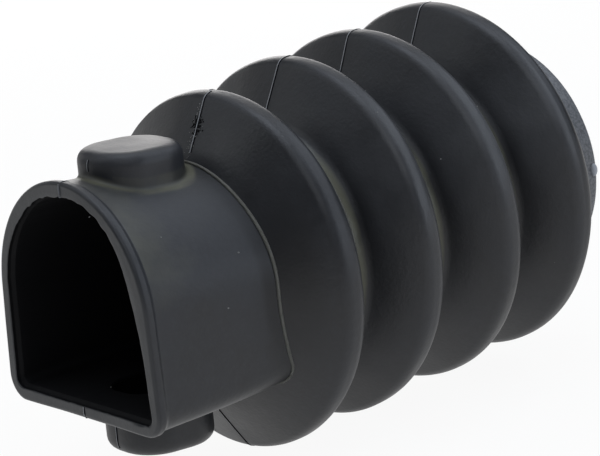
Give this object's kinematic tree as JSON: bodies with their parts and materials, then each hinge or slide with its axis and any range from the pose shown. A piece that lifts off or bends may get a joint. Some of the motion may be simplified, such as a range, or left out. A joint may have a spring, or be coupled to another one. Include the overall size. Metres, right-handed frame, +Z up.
{
  "type": "rubber bellows boot",
  "caption": "Moulded rubber bellows boot with folding convolutions, a D-shaped neck with hollow lugs, and a round cuff for a band clamp.",
  "frame": {"origin": "on the bellows axis in the end face of the round cuff", "axes": "+X along the bellows axis, out of the round cuff; +Z up, square to the flat floor of the D-shaped neck; Y across"},
  "size_m": [0.1976, 0.122, 0.122],
  "materials": {
    "rubber": "matt moulded black rubber with a soft sheen on the fold crests, faint mould seams and a dusty olive bloom in the valleys"
  },
  "bodies": {
    "root": {"bellows_boot": "rubber"}
  },
  "joints": []
}
